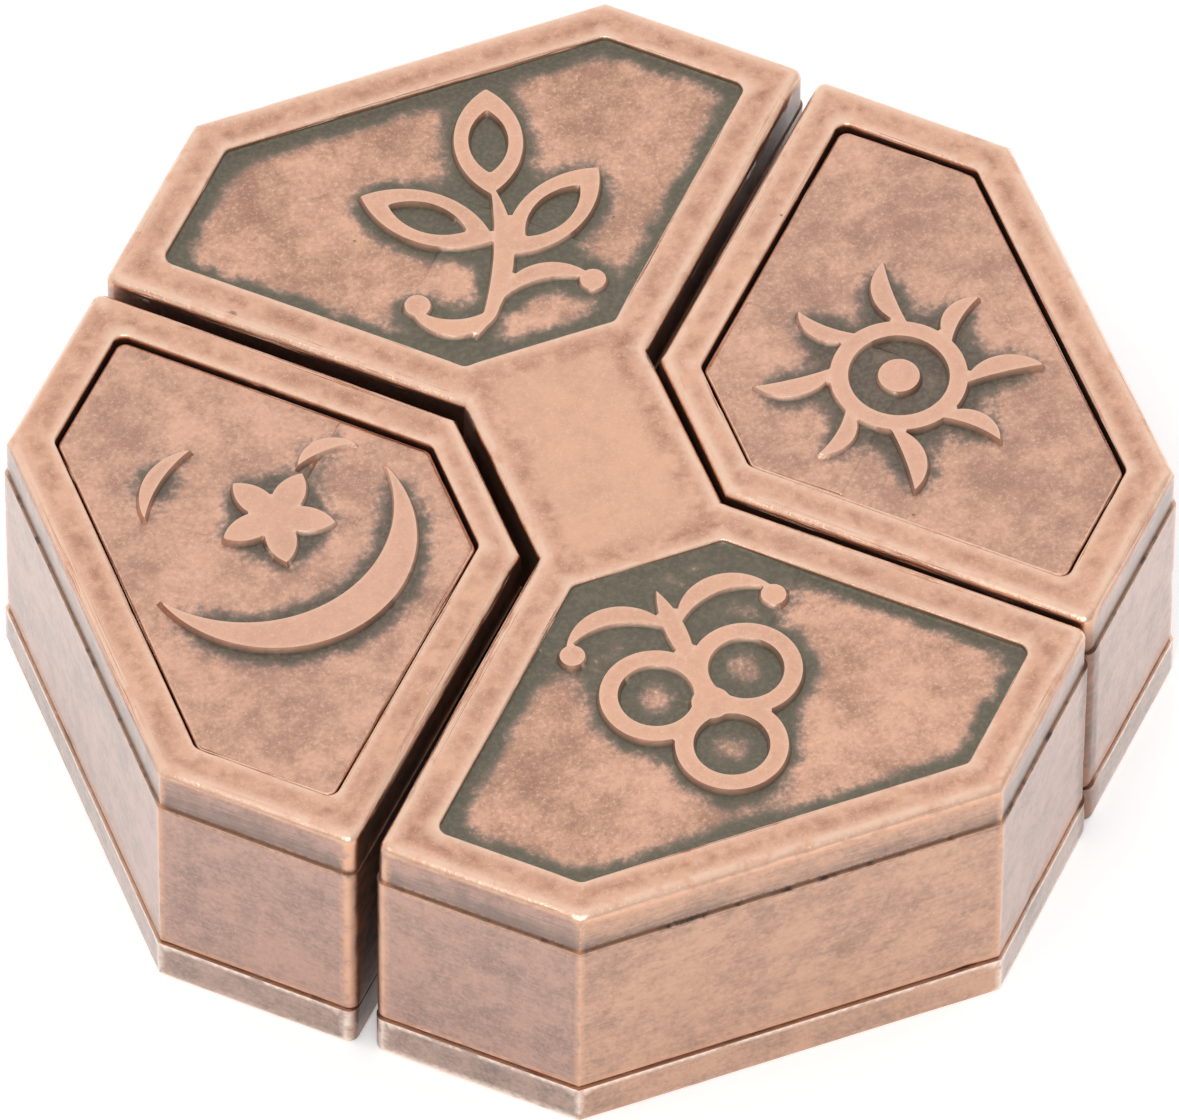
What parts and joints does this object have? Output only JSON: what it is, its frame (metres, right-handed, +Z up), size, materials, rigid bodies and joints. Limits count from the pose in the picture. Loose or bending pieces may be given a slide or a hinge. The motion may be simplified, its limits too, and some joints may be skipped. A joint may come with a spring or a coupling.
{
  "type": "octagonal take-apart puzzle",
  "caption": "Flat octagonal cast-metal puzzle in antique copper: one half bridges over the other, locked by sliding pins hidden inside.",
  "frame": {"origin": "centre of the underside, on the surface that the puzzle rests on", "axes": "+Z up through the relief panels, +Y towards the north block, +X towards the east block"},
  "size_m": [0.0464, 0.0464, 0.014],
  "materials": {
    "casting_copper": "antique copper plate on a zinc casting, satin, worn bright on the edges and brown in the corners",
    "inlay_copper": "antique copper plate on a zinc casting, satin, with olive-grey patina round the relief",
    "base_copper": "antique copper plate on a zinc casting, satin, rubbed bright on the ledge",
    "pin_steel": "turned steel"
  },
  "bodies": {
    "ew_half": {"ew_body": "casting_copper", "ew_base_plate": "base_copper", "ew_base_dowels": "pin_steel", "east_inlay_plate": "inlay_copper", "west_inlay_plate": "inlay_copper", "east_inlay_dowels": "pin_steel", "west_inlay_dowels": "pin_steel"},
    "ns_half": {"ns_body": "casting_copper", "north_base_plate": "base_copper", "south_base_plate": "base_copper", "north_base_dowels": "pin_steel", "south_base_dowels": "pin_steel"},
    "north_pin": {"north_lock_pin": "pin_steel"},
    "east_pin": {"east_lock_pin": "pin_steel"},
    "south_pin": {"south_lock_pin": "pin_steel"},
    "west_pin": {"west_lock_pin": "pin_steel"}
  },
  "joints": [
    {"name": "north_south_lift", "type": "slide", "parent": "ew_half", "child": "ns_half", "axis": [0, 0, 1], "range_m": [0, 0.016]},
    {"name": "north_pin_slide", "type": "slide", "parent": "ns_half", "child": "north_pin", "axis": [0.7102, -0.704, 0], "range_m": [0, 0.00225]},
    {"name": "west_pin_slide", "type": "slide", "parent": "ew_half", "child": "west_pin", "axis": [0.7102, 0.704, 0], "range_m": [0, 0.00225]},
    {"name": "south_pin_slide", "type": "slide", "parent": "ns_half", "child": "south_pin", "axis": [-0.7102, 0.704, 0], "range_m": [0, 0.00225]},
    {"name": "east_pin_slide", "type": "slide", "parent": "ew_half", "child": "east_pin", "axis": [-0.7102, -0.704, 0], "range_m": [0, 0.00225]}
  ]
}
